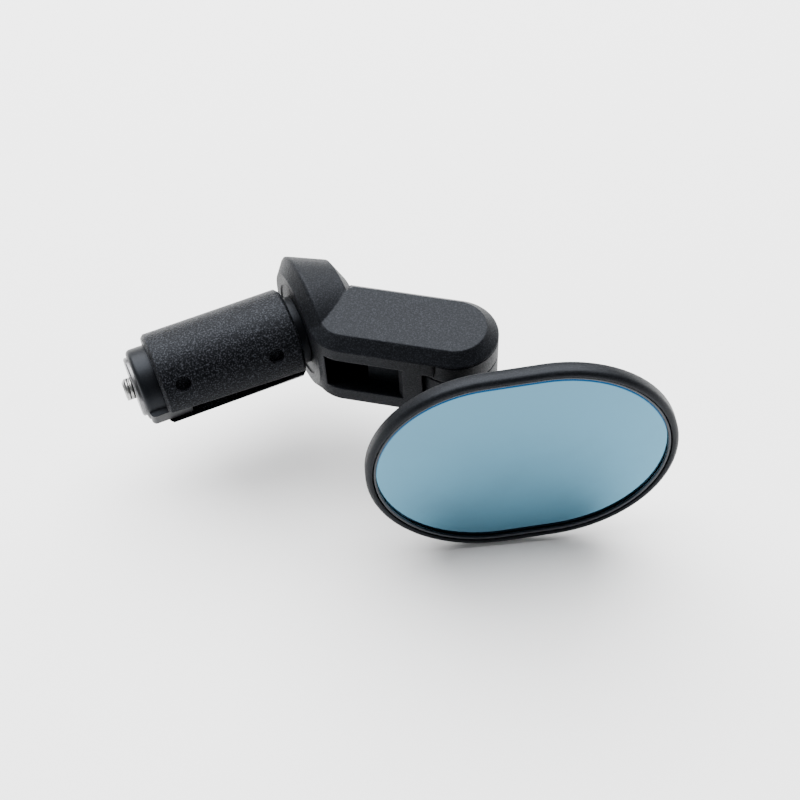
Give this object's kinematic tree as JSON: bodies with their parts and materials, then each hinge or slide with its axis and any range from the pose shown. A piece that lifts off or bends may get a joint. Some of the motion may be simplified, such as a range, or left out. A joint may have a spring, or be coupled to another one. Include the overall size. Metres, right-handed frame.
{
  "type": "bar-end bicycle mirror",
  "caption": "Bar-end bicycle mirror: expander plug, angled arm with folding knuckle, and an oval convex mirror head on a ball joint.",
  "frame": {"origin": "on the expander plug's axis, at the cap's face that meets the handlebar's end", "axes": "+X along the plug's axis, out of the handlebar; +Z square to the arm's flat top, along the folding pivot; the mirror looks towards -Y"},
  "size_m": [0.0943, 0.074, 0.051],
  "materials": {
    "arm_plastic": "fine spark-eroded grain, glass-filled nylon",
    "knuckle_plastic": "fine grain, glass-filled nylon",
    "sleeve_plastic": "coarse sparkling grain",
    "cone_plastic": "satin, smooth",
    "housing_plastic": "fine grain",
    "bezel_plastic": "fine satin grain",
    "plate_plastic": "smooth",
    "ring_plastic": "smooth black",
    "nylon": "natural nylon, smooth",
    "zinc_steel": "zinc plated",
    "stud_steel": "turned and polished",
    "spring_steel": "blued",
    "black_steel": "black oxide",
    "insert_brass": "knurled",
    "mirror_coat": "blue-tinted convex mirror",
    "pad_foam": "closed-cell foam"
  },
  "bodies": {
    "plug": {"expander_sleeve": "sleeve_plastic", "inner_cone": "cone_plastic"},
    "cone": {"end_cone": "cone_plastic", "cone_nut": "zinc_steel"},
    "bolt": {"expander_bolt": "zinc_steel"},
    "arm": {"arm_frame": "arm_plastic", "bolt_washer": "zinc_steel", "thread_insert": "insert_brass", "pivot_screw": "black_steel", "thrust_washer": "nylon", "disc_spring": "spring_steel"},
    "knuckle": {"knuckle": "knuckle_plastic"},
    "stud": {"ball_stud": "stud_steel"},
    "liner": {"rear_liner": "nylon", "front_liner": "nylon"},
    "head": {"back_housing": "housing_plastic", "socket_plate": "plate_plastic", "plate_screws": "black_steel", "front_bezel": "bezel_plastic", "glass_ring": "ring_plastic", "mirror_glass": "mirror_coat", "glass_pad": "pad_foam"}
  },
  "joints": [
    {"name": "arm_swivel", "type": "hinge", "parent": "plug", "child": "arm", "pos_m": [0, 0, 0], "axis": [1, 0, 0], "continuous": true},
    {"name": "bolt_turn", "type": "hinge", "parent": "plug", "child": "bolt", "pos_m": [0, 0, 0], "axis": [1, 0, 0], "range_deg": [0, 1800]},
    {"name": "cone_slide", "type": "slide", "parent": "plug", "child": "cone", "axis": [-1, 0, 0], "range_m": [0, 0.004]},
    {"name": "arm_fold", "type": "hinge", "parent": "arm", "child": "knuckle", "pos_m": [0.0256, -0.02191, 0], "axis": [0, 0, 1], "range_deg": [-20, 110]},
    {"name": "mirror_roll", "type": "hinge", "parent": "knuckle", "child": "stud", "pos_m": [0.0203, -0.03753, 0.0004], "axis": [-0.3211, -0.947, 0], "continuous": true},
    {"name": "mirror_tilt", "type": "hinge", "parent": "stud", "child": "liner", "pos_m": [0.0203, -0.03753, 0.0004], "axis": [0.9455, -0.3138, 0.087], "range_deg": [-15, 15]},
    {"name": "mirror_pan", "type": "hinge", "parent": "liner", "child": "head", "pos_m": [0.0203, -0.03753, 0.0004], "axis": [-0.0591, 0.0973, 0.9935], "range_deg": [-15, 15]}
  ],
  "couplings": [
    {"joint": "cone_slide", "follows": "bolt_turn", "m_per_rad": 0.00012732}
  ]
}
